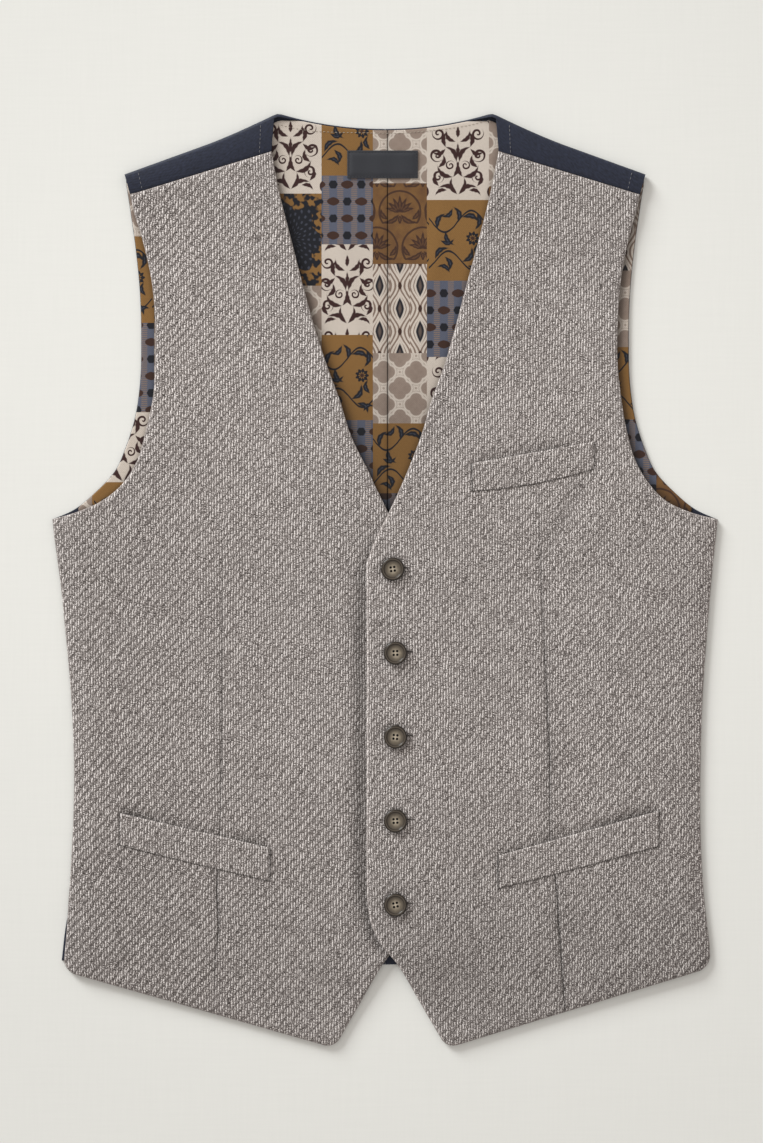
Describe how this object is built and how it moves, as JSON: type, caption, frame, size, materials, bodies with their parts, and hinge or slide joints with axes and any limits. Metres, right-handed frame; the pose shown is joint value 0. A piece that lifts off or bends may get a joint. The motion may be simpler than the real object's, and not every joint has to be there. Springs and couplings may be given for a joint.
{
  "type": "tailored waistcoat laid flat",
  "caption": "Buttoned tailored waistcoat laid flat on its back: marled twill fronts with welt pockets, plain twill back and a patchwork-print lining.",
  "frame": {"origin": "centre of the bounding box, on the surface that the garment lies on", "axes": "+X to the wearer's left, +Y up the garment towards the neck, +Z away from the surface"},
  "size_m": [0.4928, 0.6896, 0.0117],
  "materials": {
    "front_twill": "chunky marled wool-blend twill, light and dark taupe yarns, matte",
    "back_twill": "fine navy twill with a soft sheen",
    "lining": null,
    "button": "mottled olive-grey horn-look resin, satin",
    "label": "dark damask woven label, bare"
  },
  "bodies": {
    "root": {"back_left": "back_twill", "back_right": "back_twill", "lining_left": "lining", "lining_right": "lining", "front_left": "front_twill", "front_right": "front_twill", "welt_chest": "front_twill", "welt_waist_left": "front_twill", "welt_waist_right": "front_twill", "button_1": "button", "button_2": "button", "button_3": "button", "button_4": "button", "button_5": "button", "label": "label"}
  },
  "joints": []
}
